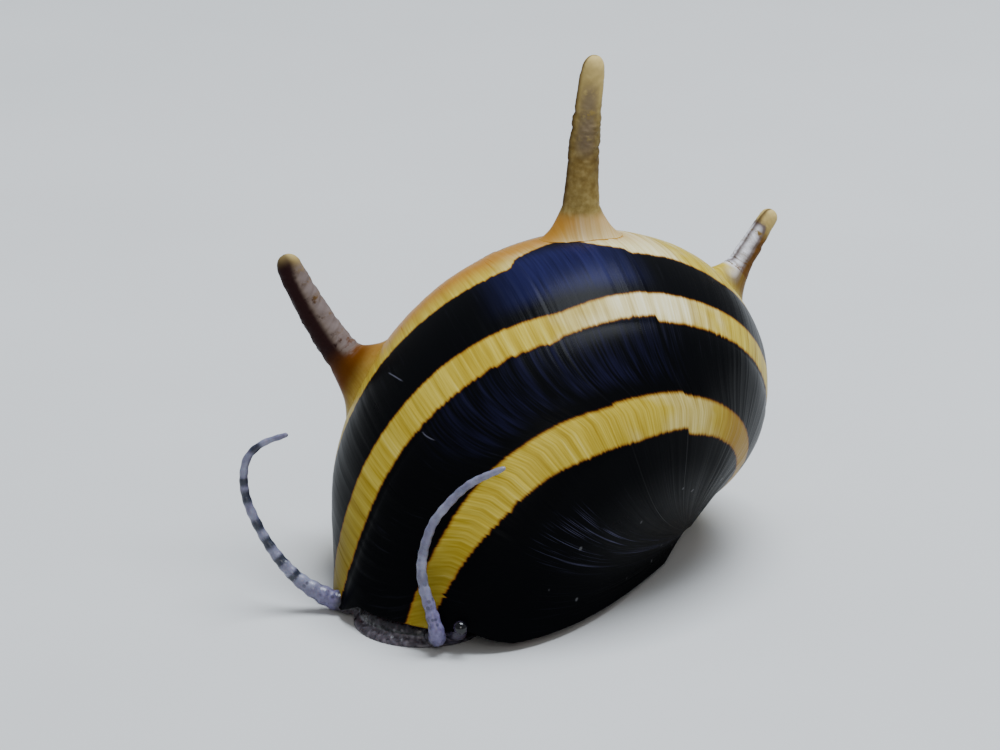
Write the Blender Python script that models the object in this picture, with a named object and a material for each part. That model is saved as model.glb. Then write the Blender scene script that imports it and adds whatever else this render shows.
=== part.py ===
"""Horned nerite snail, life size, crawling with its head toward -Y.

The origin is the middle of the flat sole of the foot, +Z is up, and the animal's left is +X.
"""
import math

import bmesh
import bpy
from mathutils import Vector

MM = 0.001
GAP = 0.3 * MM
FAR = 30 * MM

# Shell: one log spiral about an axis that dips toward the animal's left and front
APEX = Vector((-6.6, 8.4, 7.5)) * MM
AXIS_HEADING = math.radians(-38.0)
AXIS_DIP = math.radians(21.6)
GROWTH = 0.144
WHORL_RADIUS = 9.62 * MM
WHORL_MIDDLE = 14.5 * MM
SPIRE_SIDE = 12.0 * MM
BASE_SIDE = 4.95 * MM
SPIRE_FULLNESS = 1.78
BASE_FULLNESS = 2.87
SHOULDER_SWELL = 0.163
SHOULDER_RIDGE = 0.05
SPIRE_START = -15.0
SPIRE_PARTS = 4
BODY_START = -4.9
BODY_END = BODY_START + math.tau
SPIRE_OVERLAP = 0.3
RING_TURN = 0.16
PROFILE_STEPS = 28
SPIRE_CORE_OFFSET = 0.06
SPIRE_CORE_HEIGHT = 0.8
NUCLEUS_HEIGHT = 11.0 * MM
NUCLEUS_RADIUS = 8.6 * MM
BODY_CORE = Vector((-1.0, 4.5, 6.0)) * MM
FILL_CENTRE = Vector((-1.0, 0.8, 1.5)) * MM
FILL_SIZE = Vector((4.6, 6.0, 4.5)) * MM
RIM_HEIGHT = 0.8 * MM
RIM_LOW = 0.3 * MM
FRONT_ROOM = ((-2.2, 0.2), (-0.9, 0.8), (3.5, 0.8), (4.6, 0.2))
FRONT_ROOM_BACK = -6.0 * MM
REAR_ROOM = ((2.6, 0.2), (4.8, 0.9), (12.0, 0.9))

# The base: from the end of the second pale band every growth line bends back to one corner
BASE_START = 2.2
BASE_CORNER = Vector((2.6, 5.2, 0.7)) * MM
BASE_BULGE = 0.42

# The lip flares at the front and draws in at the animal's right: size, heading and focus of each
LIP_RISE = 4.5 * MM
LIP_SHAPE = ((1.1 * MM, math.radians(-97.0), 8), (-0.5 * MM, math.radians(-150.0), 6))
RECESS_CENTRE = Vector((0.1, -1.8, 0.9)) * MM
RECESS_SIZE = Vector((3.0, 3.5, 3.2)) * MM

# Spines on the shoulder: turn about the axis, length above the shell, direction and bend
SPINE_LINE = 0.941
SPINE_ROOT_DEPTH = 1.3 * MM
SPINE_RINGS = 12
SPINES = (
    {"turn": -0.294, "length": 5.0, "thick": 1.15, "along": (-0.615, -0.20, 0.757), "bend": (0.28, 0.26, 2.38)},
    {"turn": -1.490, "length": 6.3, "thick": 1.00, "along": (-0.02, 0.12, 0.99), "bend": (0.66, 0.17, 0.10)},
    {"turn": -2.530, "length": 3.3, "thick": 0.82, "along": (0.09, 0.66, 0.75), "bend": (0.30, 0.05, 0.15)},
)
SPINE_TAPER = (
    (0.0, 1.2), (0.18, 0.92), (0.28, 0.66), (0.42, 0.56), (0.7, 0.47), (0.9, 0.41), (0.965, 0.34), (1.0, 0.16),
)

# Foot and head, parted by a thin cut
FOOT_CENTRE = Vector((0.1, -0.2, 0.0)) * MM
FOOT_HALF = Vector((3.6, 6.2, 0.0)) * MM
FOOT_MARGIN = 0.5 * MM
FOOT_TAPER = 0.32
FOOT_ROUND = 0.2 * MM
FOOT_ROUND_STEPS = 2
FOOT_SIDES = 48
HEAD_BACK = -5.6 * MM
HEAD_CENTRE = Vector((0.3, -6.35, 0.0)) * MM
SNOUT_LOWER = Vector((2.35, 2.15, 0.52)) * MM
SNOUT_UPPER = Vector((2.15, 1.85, 0.95)) * MM

# Feelers: route of the middle line from the root, inside the head, to the tip
TENTACLE_LENGTHS = 3
TENTACLE_STEPS = 5
TENTACLE_TAPER = ((0.0, 0.36), (0.2, 0.25), (0.4, 0.19), (0.8, 0.17), (0.97, 0.15), (1.0, 0.09))
TENTACLE_LEFT = (
    (2.00, -7.40, 0.35), (2.70, -7.95, 0.70), (2.48, -7.98, 1.45), (2.09, -7.96, 2.36), (1.91, -7.85, 3.07),
    (1.95, -7.60, 3.95), (2.19, -7.30, 4.72), (2.89, -6.58, 5.77), (3.86, -5.74, 6.43),
)
TENTACLE_RIGHT = (
    (-1.00, -6.90, 0.36), (-2.30, -7.40, 0.38), (-2.95, -7.78, 0.62), (-3.73, -8.34, 1.29), (-4.62, -8.75, 2.44),
    (-5.34, -8.98, 3.92), (-5.51, -8.81, 5.09), (-5.12, -8.44, 5.76), (-4.40, -7.80, 6.15),
)
EYE_RADIUS = 0.24 * MM
STALK_RADII = (0.36, 0.33, 0.26)
STALK_LEFT = ((1.5, -6.4, 0.35), (2.6, -6.95, 0.55), (3.0, -7.25, 0.80))
STALK_RIGHT = ((-0.8, -6.5, 0.36), (-2.2, -6.45, 0.36), (-3.0, -6.85, 0.34))

# Distances under which points merge, and the step that finds a direction on the whorl
TUBE_MERGE = 0.01 * MM
WHORL_MERGE = 0.001 * MM
SMALL_STEP = 0.01


def clear_scene():
    """Remove whatever the file already holds."""
    for item in list(bpy.data.objects):
        bpy.data.objects.remove(item, do_unlink=True)


def new_collection(name):
    group = bpy.data.collections.new(name)
    bpy.context.scene.collection.children.link(group)
    return group


def principled(name, colour, roughness):
    """A plain material with the part's main colour."""
    made = bpy.data.materials.new(name)
    made.use_nodes = True
    shader = made.node_tree.nodes["Principled BSDF"]
    shader.inputs["Base Color"].default_value = (*colour, 1.0)
    shader.inputs["Roughness"].default_value = roughness
    shader.inputs["Metallic"].default_value = 0.0
    return made


def mesh_object(name, shape, group, smooth=True):
    """Turn a bmesh into an object whose faces point out, shaded smooth where it is round."""
    bmesh.ops.recalc_face_normals(shape, faces=shape.faces)
    mesh = bpy.data.meshes.new(name)
    shape.to_mesh(mesh)
    shape.free()
    mesh.polygons.foreach_set("use_smooth", [smooth] * len(mesh.polygons))
    made = bpy.data.objects.new(name, mesh)
    group.objects.link(made)
    return made


def ellipsoid(name, centre, half, group, around=32, down=16):
    shape = bmesh.new()
    bmesh.ops.create_uvsphere(shape, u_segments=around, v_segments=down, radius=1.0)
    for vert in shape.verts:
        vert.co = Vector((vert.co.x * half.x, vert.co.y * half.y, vert.co.z * half.z)) + centre
    return mesh_object(name, shape, group)


def block(name, low, high, group):
    shape = bmesh.new()
    bmesh.ops.create_cube(shape, size=1.0)
    for vert in shape.verts:
        vert.co = Vector([(low[i] + high[i]) / 2 + vert.co[i] * (high[i] - low[i]) for i in range(3)])
    return mesh_object(name, shape, group, smooth=False)


def prism(name, outline, low, high, axes, group):
    """A closed prism of a flat outline, with the axes of the outline and of its length."""
    shape = bmesh.new()
    ends = []
    for level in (low, high):
        spots = [dict(zip(axes, (a, b, level))) for a, b in outline]
        ends.append([shape.verts.new((spot["x"], spot["y"], spot["z"])) for spot in spots])
        shape.faces.new(ends[-1])
    for index in range(len(outline)):
        shape.faces.new((ends[0][index - 1], ends[0][index], ends[1][index], ends[1][index - 1]))
    return mesh_object(name, shape, group, smooth=False)


def room_outline(line):
    """The outline of a room under a line, down past the floor."""
    upper = [(a * MM, b * MM) for a, b in line]
    return upper + [(upper[-1][0], -FAR), (upper[0][0], -FAR)]


def foot_outline(margin):
    """The outline of the sole, narrower behind, grown by a margin."""
    points = []
    for side in range(FOOT_SIDES):
        angle = math.tau * side / FOOT_SIDES
        across = math.cos(angle) * (FOOT_HALF.x + margin) * (1 - FOOT_TAPER * math.sin(angle))
        points.append((FOOT_CENTRE.x + across, FOOT_CENTRE.y + math.sin(angle) * (FOOT_HALF.y + margin)))
    return points


def replace_mesh(item, mesh):
    """Give an object a new mesh and drop its modifiers and old mesh."""
    old = item.data
    item.modifiers.clear()
    item.data = mesh
    bpy.data.meshes.remove(old)


def keep_largest(item):
    """Keep only the largest closed surface of a mesh object."""
    shape = bmesh.new()
    shape.from_mesh(item.data)
    left = set(shape.faces)
    surfaces = []
    while left:
        found = set()
        queue = [left.pop()]
        while queue:
            face = queue.pop()
            found.add(face)
            for edge in face.edges:
                for other in edge.link_faces:
                    if other in left:
                        left.remove(other)
                        queue.append(other)
        surfaces.append(found)
    surfaces.sort(key=lambda faces: sum(face.calc_area() for face in faces))
    loose = [face for faces in surfaces[:-1] for face in faces]
    bmesh.ops.delete(shape, geom=loose, context="FACES")
    shape.to_mesh(item.data)
    shape.free()


def combine(item, others, operation):
    """Apply one Boolean of a collection of closed objects, then remove those objects."""
    tools = new_collection(item.name + "_" + operation.lower())
    for other in others:
        for owner in list(other.users_collection):
            owner.objects.unlink(other)
        tools.objects.link(other)
        other.hide_render = True
        other.display_type = "WIRE"
    boolean = item.modifiers.new(operation.lower(), "BOOLEAN")
    boolean.operand_type = "COLLECTION"
    boolean.collection = tools
    boolean.operation = operation
    boolean.solver = "MANIFOLD"
    graph = bpy.context.evaluated_depsgraph_get()
    result = bpy.data.meshes.new_from_object(item.evaluated_get(graph))
    replace_mesh(item, result)
    for other in others:
        bpy.data.objects.remove(other, do_unlink=True)
    bpy.data.collections.remove(tools)
    keep_largest(item)


def smooth_path(points, count):
    """Points spread evenly in parameter along a Catmull-Rom curve through the given ones."""
    ends = [points[0] * 2 - points[1]] + list(points) + [points[-1] * 2 - points[-2]]
    made = []
    for index in range(count):
        place = index * (len(points) - 1) / (count - 1)
        first = min(int(place), len(points) - 2)
        t = place - first
        a, b, c, d = ends[first:first + 4]
        made.append((b * 2 + (c - a) * t + (a * 2 - b * 5 + c * 4 - d) * t * t
                     + (b * 3 - a - c * 3 + d) * t ** 3) / 2)
    return made


def tapered_tube(name, points, radii, group, resolution=3):
    """A closed tube along the points, with its own radius at each."""
    curve = bpy.data.curves.new(name, "CURVE")
    curve.dimensions = "3D"
    curve.bevel_depth = 1.0
    curve.bevel_resolution = resolution
    curve.use_fill_caps = True
    line = curve.splines.new("POLY")
    line.points.add(len(points) - 1)
    for spot, point, radius in zip(line.points, points, radii):
        spot.co = (*point, 1.0)
        spot.radius = radius
    source = bpy.data.objects.new(name, curve)
    group.objects.link(source)
    graph = bpy.context.evaluated_depsgraph_get()
    mesh = bpy.data.meshes.new_from_object(source.evaluated_get(graph))
    bpy.data.objects.remove(source, do_unlink=True)
    shape = bmesh.new()
    shape.from_mesh(mesh)
    bpy.data.meshes.remove(mesh)
    bmesh.ops.remove_doubles(shape, verts=shape.verts, dist=TUBE_MERGE)
    return mesh_object(name, shape, group)


def blend(table, place):
    """Read a value from pairs of place and value, with straight lines between them."""
    for (low, first), (high, second) in zip(table, table[1:]):
        if place <= high:
            return first + (second - first) * (place - low) / (high - low)
    return table[-1][1]


def axis_frame():
    """Unit vectors: forward and level, down, and along the axis toward the base."""
    heading = Vector((math.cos(AXIS_HEADING), math.sin(AXIS_HEADING), 0.0))
    along = heading * math.cos(AXIS_DIP) - Vector((0.0, 0.0, math.sin(AXIS_DIP)))
    level = Vector((heading.y, -heading.x, 0.0))
    return level, along.cross(level), along


def profile(step):
    """Radius and distance along the axis at a step of 0 (suture) to pi (end of the base)."""
    spire_side = step < math.pi / 2
    fullness = SPIRE_FULLNESS if spire_side else BASE_FULLNESS
    reach = SPIRE_SIDE if spire_side else BASE_SIDE
    swell = 1 + SHOULDER_SWELL * math.sin(2 * step) + SHOULDER_RIDGE * math.sin(3 * step)
    radius = WHORL_RADIUS * abs(math.sin(step)) ** (2 / fullness) * swell
    height = WHORL_MIDDLE - reach * math.copysign(abs(math.cos(step)) ** (2 / fullness), math.cos(step))
    return radius, height


def spiral_point(turn, step):
    """A point of the spiral surface at a turn in radians from the front of the lip."""
    level, down, along = axis_frame()
    size = math.exp(GROWTH * turn)
    radius, height = profile(step)
    outward = level * math.cos(turn) + down * math.sin(turn)
    return APEX + (outward * radius + along * height) * size


def flared(point):
    """Push a low point of the shell outward or inward, by its heading round the animal."""
    rise = min(max(0.0, 1.0 - point.z / LIP_RISE), 1.0)
    outward = Vector((point.x, point.y, 0.0)).normalized()
    push = 0.0
    for size, heading, focus in LIP_SHAPE:
        facing = outward.x * math.cos(heading) + outward.y * math.sin(heading)
        push += size * max(facing, 0.0) ** focus
    return point + outward * push * rise ** 2


def body_point(turn, step):
    """A point of the body whorl, whose base bends back to the corner."""
    if step <= BASE_START:
        return flared(spiral_point(turn, step))
    start = spiral_point(turn, BASE_START)
    heading = (start - spiral_point(turn, BASE_START - SMALL_STEP)).normalized()
    middle = start + heading * (BASE_CORNER - start).length * BASE_BULGE
    t = (step - BASE_START) / (math.pi - BASE_START)
    return flared(start * (1 - t) ** 2 + middle * (2 * t * (1 - t)) + BASE_CORNER * t * t)


def whorl_segment(name, first, last, point, core, group):
    """A stretch of the whorl, closed by a cone to a point inside it."""
    count = math.ceil((last - first) / RING_TURN)
    turns = [first + (last - first) * ring / count for ring in range(count + 1)]
    steps = [math.pi * step / PROFILE_STEPS for step in range(PROFILE_STEPS + 1)]
    shape = bmesh.new()
    rings = [[shape.verts.new(point(turn, step)) for step in steps] for turn in turns]
    tip = shape.verts.new(core)
    for older, newer in zip(rings, rings[1:]):
        for step in range(PROFILE_STEPS):
            shape.faces.new((older[step], older[step + 1], newer[step + 1], newer[step]))
        shape.faces.new((older[0], newer[0], tip))
        shape.faces.new((newer[-1], older[-1], tip))
    for step in range(PROFILE_STEPS):
        shape.faces.new((rings[0][step + 1], rings[0][step], tip))
        shape.faces.new((rings[-1][step], rings[-1][step + 1], tip))
    bmesh.ops.remove_doubles(shape, verts=shape.verts, dist=WHORL_MERGE)
    return mesh_object(name, shape, group)


def spire(group):
    """The older turns, in closed parts that overlap round the axis, and a round tip."""
    last = BODY_START + SPIRE_OVERLAP
    span = (last - SPIRE_START) / SPIRE_PARTS
    level, down, along = axis_frame()
    size = math.exp(GROWTH * SPIRE_START)
    tip = Vector((1.0, 1.0, 1.0)) * NUCLEUS_RADIUS * size
    made = [ellipsoid("nucleus", APEX + along * NUCLEUS_HEIGHT * size, tip, group, 16, 8)]
    for index in range(SPIRE_PARTS):
        first = SPIRE_START + span * index
        middle = first + span / 2
        outward = level * math.cos(middle) + down * math.sin(middle)
        core = along * WHORL_MIDDLE * SPIRE_CORE_HEIGHT - outward * WHORL_RADIUS * SPIRE_CORE_OFFSET
        core = APEX + core * math.exp(GROWTH * middle)
        made.append(whorl_segment(f"spire_{index}", first, first + span, spiral_point, core, group))
    return made


def spine(index, group):
    """A blunt, slightly bent spine whose flared root is sunk into the shoulder."""
    size = SPINES[index]
    along = Vector(size["along"]).normalized()
    bend = Vector(size["bend"]) * MM
    whole = size["length"] * MM + SPINE_ROOT_DEPTH
    start = spiral_point(size["turn"], SPINE_LINE) - along * SPINE_ROOT_DEPTH
    places = [ring / (SPINE_RINGS - 1) for ring in range(SPINE_RINGS)]
    points = [start + along * whole * place + bend * (place * place - place) for place in places]
    radii = [blend(SPINE_TAPER, place) * size["thick"] * MM for place in places]
    return tapered_tube(f"spine_{index}", points, radii, group)


def stalk(side, route, group):
    points = [Vector(spot) * MM for spot in route]
    radii = [radius * MM for radius in STALK_RADII]
    return tapered_tube(f"stalk_{side}", points, radii, group, 2)


def build_shell(group):
    """The body whorl and spire in one, with the spines, open below where the body comes out."""
    pieces = [whorl_segment("whorl", BODY_START, BODY_END, body_point, BODY_CORE, group)]
    pieces += spire(group)
    pieces.append(ellipsoid("fill", FILL_CENTRE, FILL_SIZE, group))
    pieces += [spine(index, group) for index in range(len(SPINES))]
    shell = pieces.pop(0)
    shell.name = "shell"
    combine(shell, pieces, "UNION")
    below = block("below", (-FAR, -FAR, -FAR), (FAR, FAR, RIM_LOW), group)
    recess = ellipsoid("recess", RECESS_CENTRE, RECESS_SIZE, group)
    room = prism("room", foot_outline(GAP), -FAR, RIM_HEIGHT, "xyz", group)
    front = prism("front", room_outline(FRONT_ROOM), -FAR, FRONT_ROOM_BACK, "xzy", group)
    rear = prism("rear", room_outline(REAR_ROOM), -FAR, FAR, "yzx", group)
    combine(shell, [below, recess, room, front, rear], "DIFFERENCE")
    return shell


def swollen(item, group):
    """A copy of a closed object with every wall moved out by the gap."""
    copy = bpy.data.objects.new(item.name + "_swollen", item.data.copy())
    group.objects.link(copy)
    displace = copy.modifiers.new("gap", "DISPLACE")
    displace.mid_level = 0.0
    displace.strength = GAP
    graph = bpy.context.evaluated_depsgraph_get()
    replace_mesh(copy, bpy.data.meshes.new_from_object(copy.evaluated_get(graph)))
    return copy


def floor_block(group):
    return block("floor", (-FAR, -FAR, -FAR), (FAR, FAR, 0.0), group)


def build_foot(group):
    """A flat oval sole with a rounded edge, and the body rising into the shell's opening."""
    foot = prism("foot", foot_outline(0.0), 0.0, FOOT_MARGIN, "xyz", group)
    shape = bmesh.new()
    shape.from_mesh(foot.data)
    top = [edge for edge in shape.edges if all(vert.co.z > FOOT_MARGIN / 2 for vert in edge.verts)]
    bmesh.ops.bevel(shape, geom=top, offset=FOOT_ROUND, segments=FOOT_ROUND_STEPS, affect="EDGES")
    shape.to_mesh(foot.data)
    shape.free()
    neck = RECESS_SIZE - Vector((GAP, GAP, GAP))
    combine(foot, [ellipsoid("neck", RECESS_CENTRE, neck, group)], "UNION")
    ahead = block("ahead", (-FAR, -FAR, -FAR), (FAR, HEAD_BACK + GAP / 2, FAR), group)
    combine(foot, [floor_block(group), ahead], "DIFFERENCE")
    return foot




def snout(margin, group):
    """The lower and upper lips as two flat ellipsoids, each wall moved out by a margin."""
    extra = Vector((margin, margin, margin))
    lower = ellipsoid("lower", HEAD_CENTRE, SNOUT_LOWER + extra, group, 36, 14)
    raised = HEAD_CENTRE + Vector((0, 0, FOOT_MARGIN / 2))
    upper = ellipsoid("upper", raised, SNOUT_UPPER + extra, group, 36, 14)
    return [lower, upper]


def build_head(shell, group):
    """A broad flat snout with a groove between its lips, and an eye stalk at each side."""
    head, upper = snout(0, group)
    head.name = "head"
    stalks = [stalk("left", STALK_LEFT, group), stalk("right", STALK_RIGHT, group)]
    combine(head, [upper] + stalks, "UNION")
    behind = block("behind", (-FAR, HEAD_BACK - GAP / 2, -FAR), (FAR, FAR, FAR), group)
    combine(head, [floor_block(group), behind, swollen(shell, group)], "DIFFERENCE")
    return head


def tentacle(name, route, shell, group):
    """A tapered feeler along a smooth route, in a few lengths with a gap between them."""
    count = TENTACLE_LENGTHS * TENTACLE_STEPS + 1
    points = smooth_path([Vector(spot) * MM for spot in route], count)
    radii = [blend(TENTACLE_TAPER, index / (count - 1)) * MM for index in range(count)]
    made = []
    for part in range(TENTACLE_LENGTHS):
        first = part * TENTACLE_STEPS
        stretch = points[first:first + TENTACLE_STEPS + 1]
        if part > 0:
            stretch[0] = stretch[0] + (stretch[1] - stretch[0]).normalized() * GAP
        title = f"{name}_{part + 1}"
        made.append(tapered_tube(title, stretch, radii[first:first + TENTACLE_STEPS + 1], group, 2))
    combine(made[0], snout(GAP, group) + [swollen(shell, group)], "DIFFERENCE")
    return made


def build_eye(side, route, group):
    """A round eye just past the end of its stalk."""
    end = Vector(route[-1]) * MM
    heading = (end - Vector(route[-2]) * MM).normalized()
    centre = end + heading * (GAP + EYE_RADIUS)
    return ellipsoid(f"eye_{side}", centre, Vector((EYE_RADIUS, EYE_RADIUS, EYE_RADIUS)), group, 16, 8)


def main():
    clear_scene()
    group = new_collection("nerite_snail")
    shell = build_shell(group)
    foot = build_foot(group)
    head = build_head(shell, group)
    feelers = tentacle("tentacle_left", TENTACLE_LEFT, shell, group)
    feelers += tentacle("tentacle_right", TENTACLE_RIGHT, shell, group)
    eyes = [build_eye("left", STALK_LEFT, group), build_eye("right", STALK_RIGHT, group)]
    for items, name, colour, roughness in (
        ([shell], "black_and_gold_shell", (0.02, 0.018, 0.03), 0.15),
        ([foot, head], "dark_skin", (0.10, 0.08, 0.10), 0.4),
        (feelers, "lavender_skin", (0.45, 0.42, 0.52), 0.4),
        (eyes, "eye", (0.01, 0.01, 0.01), 0.05),
    ):
        finish = principled(name, colour, roughness)
        for item in items:
            item.data.materials.clear()
            item.data.materials.append(finish)


main()
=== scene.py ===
"""Horned nerite snail at life size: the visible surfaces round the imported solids.

Lengths are in metres. The origin is the middle of the foot's sole, +Z is up, the head faces -Y
and the animal's left is +X.
"""

import math

import bmesh
import bpy
import numpy as np
from mathutils import Matrix, Vector


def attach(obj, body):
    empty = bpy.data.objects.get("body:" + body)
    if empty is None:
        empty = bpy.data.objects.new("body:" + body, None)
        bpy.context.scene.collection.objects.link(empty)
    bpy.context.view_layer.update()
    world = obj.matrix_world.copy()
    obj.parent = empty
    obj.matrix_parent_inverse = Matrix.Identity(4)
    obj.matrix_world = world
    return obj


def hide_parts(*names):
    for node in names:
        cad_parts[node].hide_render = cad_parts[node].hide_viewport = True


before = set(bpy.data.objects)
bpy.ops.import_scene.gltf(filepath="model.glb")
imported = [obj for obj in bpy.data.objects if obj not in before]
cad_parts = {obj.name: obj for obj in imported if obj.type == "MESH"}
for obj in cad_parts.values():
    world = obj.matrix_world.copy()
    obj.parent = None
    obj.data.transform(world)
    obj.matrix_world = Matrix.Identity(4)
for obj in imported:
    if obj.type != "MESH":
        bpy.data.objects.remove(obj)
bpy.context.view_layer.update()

MM = 0.001
UP = np.array([0.0, 0.0, 1.0])
ALL_WAYS = Vector((1.0, 1.0, 1.0))
TINY = 1e-12

# Camera: heading and height of the view, and the row point that its middle line meets
VIEW_AZIMUTH = math.radians(42.0)
VIEW_ELEVATION = math.radians(20.0)
VIEW_TARGET = Vector((-5.2, 7.0, 2.1)) * MM
VIEW_DISTANCE = 166.5 * MM
VIEW_LENS = 162.0
VIEW_SENSOR = 36.0
VIEW_SHIFT = (-0.060, 0.055)
VIEW_REACH = (1 * MM, 10.0)

# Shell: one log spiral about an axis that dips toward the animal's left and front
APEX = np.array([-6.6, 8.4, 7.5]) * MM
AXIS_HEADING = math.radians(-38.0)
AXIS_DIP = math.radians(21.6)
GROWTH = 0.144
WHORL_RADIUS = 9.62 * MM
WHORL_MIDDLE = 14.5 * MM
SPIRE_SIDE = 12.0 * MM
BASE_SIDE = 4.95 * MM
SPIRE_FULLNESS = 1.78
BASE_FULLNESS = 2.87
SHOULDER_SWELL = 0.163
SHOULDER_RIDGE = 0.05
SPIRE_START = -15.0
SPIRE_PARTS = 4
BODY_START = -4.9
BODY_END = BODY_START + math.tau
SPIRE_OVERLAP = 0.3
SPIRE_CORE_OFFSET = 0.06
SPIRE_CORE_HEIGHT = 0.8
NUCLEUS_HEIGHT = 11.0 * MM
NUCLEUS_RADIUS = 8.6 * MM
NUCLEUS_FINENESS = (48, 24)
BODY_CORE = np.array([-1.0, 4.5, 6.0]) * MM
FILL_CENTRE = Vector((-1.0, 0.8, 1.5)) * MM
FILL_SIZE = Vector((4.6, 6.0, 4.5)) * MM
RIM_HEIGHT = 0.8 * MM
RIM_LOW = 0.3 * MM
FRONT_ROOM = ((-2.2, 0.2), (-0.9, 0.8), (3.5, 0.8), (4.6, 0.2))
FRONT_ROOM_BACK = -6.0 * MM
REAR_ROOM = ((2.6, 0.2), (4.8, 0.9), (12.0, 0.9))
ROOM_MARGIN = 0.3 * MM
BASE_START = 2.2
BASE_CORNER = np.array([2.6, 5.2, 0.7]) * MM
BASE_BULGE = 0.42
SMALL_STEP = 0.01
LIP_RISE = 4.5 * MM
LIP_SHAPE = ((1.1 * MM, math.radians(-97.0), 8), (-0.5 * MM, math.radians(-150.0), 6))
RECESS_CENTRE = Vector((0.1, -1.8, 0.9)) * MM
RECESS_SIZE = Vector((3.0, 3.5, 3.2)) * MM
FAR = 30 * MM
ALL_ROUND = ((-FAR, -FAR), (FAR, -FAR), (FAR, FAR), (-FAR, FAR))

# Noise tables, then how fine the shell's surface is, and the lines that are measured to lay it out
NOISE_LENGTH = 4096
NOISE_SIDE = 256
PROFILE_SAMPLES = 20001
ARC_SAMPLES = 8001
BODY_ROWS = 900
BODY_COLUMNS = 280
SPIRE_ROWS = 130
SPIRE_COLUMNS = 150

# Growth lines lean back from the axis: their lag in turn is a sum of three waves of the step, and past a
# first step it goes on with a slope that fades out over a span
LAG_WAVES = (-1.163, -0.162, 0.495)
LAG_EASE = (1.98, 0.509, 0.67)

# Pale bands from the spire to the base: age and step along the upper and lower edge, and share of the teeth.
# Each growth check makes a small jump in them.
PALE_BANDS = (
    (((0.0, 0.30),), ((0.0, 0.42),), 0.35),
    (((1.42, 0.835), (1.90, 0.83), (1.91, 0.855), (3.1, 0.84)),
     ((1.38, 1.130), (1.42, 1.075), (1.55, 1.033), (1.66, 1.007), (1.80, 1.104), (1.90, 1.14), (1.91, 1.165),
      (2.18, 1.169), (2.43, 1.195), (3.10, 1.175), (3.11, 1.195), (4.2, 1.14)), 0.8),
    (((0.94, 1.398), (1.21, 1.411), (1.47, 1.437), (1.67, 1.413), (1.86, 1.396), (3.0, 1.40)),
     ((0.85, 1.551), (1.15, 1.555), (1.41, 1.578), (1.42, 1.570), (1.61, 1.557), (1.81, 1.539),
      (1.90, 1.532), (1.91, 1.565), (2.16, 1.563), (3.10, 1.55), (3.11, 1.57)), 1.0),
    (((0.37, 2.024), (0.80, 2.030), (1.14, 2.050), (1.33, 2.080), (1.42, 2.083), (1.43, 2.065),
      (1.60, 2.052), (1.90, 2.02), (1.91, 2.045), (3.10, 2.03), (3.11, 2.05)),
     ((0.0, 2.213), (0.50, 2.270), (0.92, 2.288), (1.18, 2.312), (1.47, 2.330), (1.90, 2.295), (1.91, 2.33),
      (2.6, 2.30), (3.10, 2.26), (3.11, 2.29), (4.5, 2.20)), 1.0),
)

# Band edges: slow wander over a cell of age, and saw teeth. Each edge has the mean length in age and the
# mean size of its teeth, and the seeds of its teeth and of its wander.
YOUNGEST = -2.0
BAND_WANDER = 0.03 * MM
BAND_WANDER_CELL = 0.35
UPPER_EDGE = (0.035, 0.028 * MM, 11, 31)
LOWER_EDGE = (0.032, 0.06 * MM, 21, 41)
TEETH_COUNT = 900
TEETH_GAP_SPREAD = 0.6
TEETH_SIZE_SPREAD = 0.55

# Growth checks: age, depth and run of the ridge that each leaves
CHECK_RIDGES = ((1.90, 0.014 * MM, 0.04), (1.42, 0.02 * MM, 0.03), (0.76, 0.01 * MM, 0.02),
                (3.1, 0.02 * MM, 0.05))

# Growth lines: cell in age, height and seed of each octave, how their strength changes, and slow swells
GROWTH_LINES = ((0.016, 0.008 * MM, 1), (0.045, 0.012 * MM, 2), (0.14, 0.02 * MM, 3))
LINE_STRENGTH = 0.55
LINE_CHANGE = 0.45
CHANGE_CELLS = 5
CHANGE_STEPS = 3.1
CHANGE_SEED = 50
SWELL_SIZE = 0.03 * MM
SWELL_RATES = (2.3, 2.0)
SWELL_SEED = 91
SUTURE_FADE = 0.25
BASE_FADE = 0.5
LAG_FADE = 0.6
LAG_FADE_SLOPE = 1.7
MERGE = 0.0002 * MM

# The youngest end of the spire sinks a little toward its core, so that the body whorl covers it
SPIRE_SINK = 0.003

# Spines on the shoulder: where the search for each one's seat looks, its skirt, its stem and its wrinkles
SPINE_LINE = 0.941
SEAT_REACH = 0.2
SEAT_SAMPLES = 161
SEAT_PLACES = (0.05, 0.5, 181)
SLOPE_STEP = 0.001
SPINE_ROOT_DEPTH = 1.3 * MM
SKIRT_ROWS = 36
SKIRT_PALE = 0.2
SPINE_ROWS = 170
SPINE_AROUND = 72
SKIRT_REACH = (1.95 * MM, 1.25 * MM)
SKIRT_RISE = 1.0 * MM
SKIRT_CURVE = 3.0
SKIRT_SUNK = 0.12 * MM
SKIRT_LEFT = 0.25
SPINES = (
    {"turn": -0.294, "length": 5.0, "thick": 1.15, "along": (-0.615, -0.20, 0.757),
     "bend": (0.28, 0.26, 2.38)},
    {"turn": -1.490, "length": 6.3, "thick": 1.00, "along": (-0.02, 0.12, 0.99),
     "bend": (0.66, 0.17, 0.10)},
    {"turn": -2.530, "length": 3.3, "thick": 0.82, "along": (0.09, 0.66, 0.75),
     "bend": (0.30, 0.05, 0.15)},
)
SPINE_TAPER = ((0.0, 1.2), (0.18, 0.92), (0.28, 0.66), (0.42, 0.56), (0.7, 0.47), (0.9, 0.41), (1.0, 0.37))
DOME_START = 0.93
DOME_POWER = 2.4
WRINKLE_SIZE = 0.03 * MM
WRINKLE_WAVES = ((0.2 * MM, 1.7, 40, 1.9, 1.0, 61), (0.09 * MM, 2.5, 80, 3.2, 0.6, 71))
WRINKLE_ZONES = ((0.1, 0.95, 0.5), (0.36, 0.74, 1.0), (0.2, 0.7, 0.4))
WRINKLE_LEAST = 0.35
WRINKLE_FADE = 0.12
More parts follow.
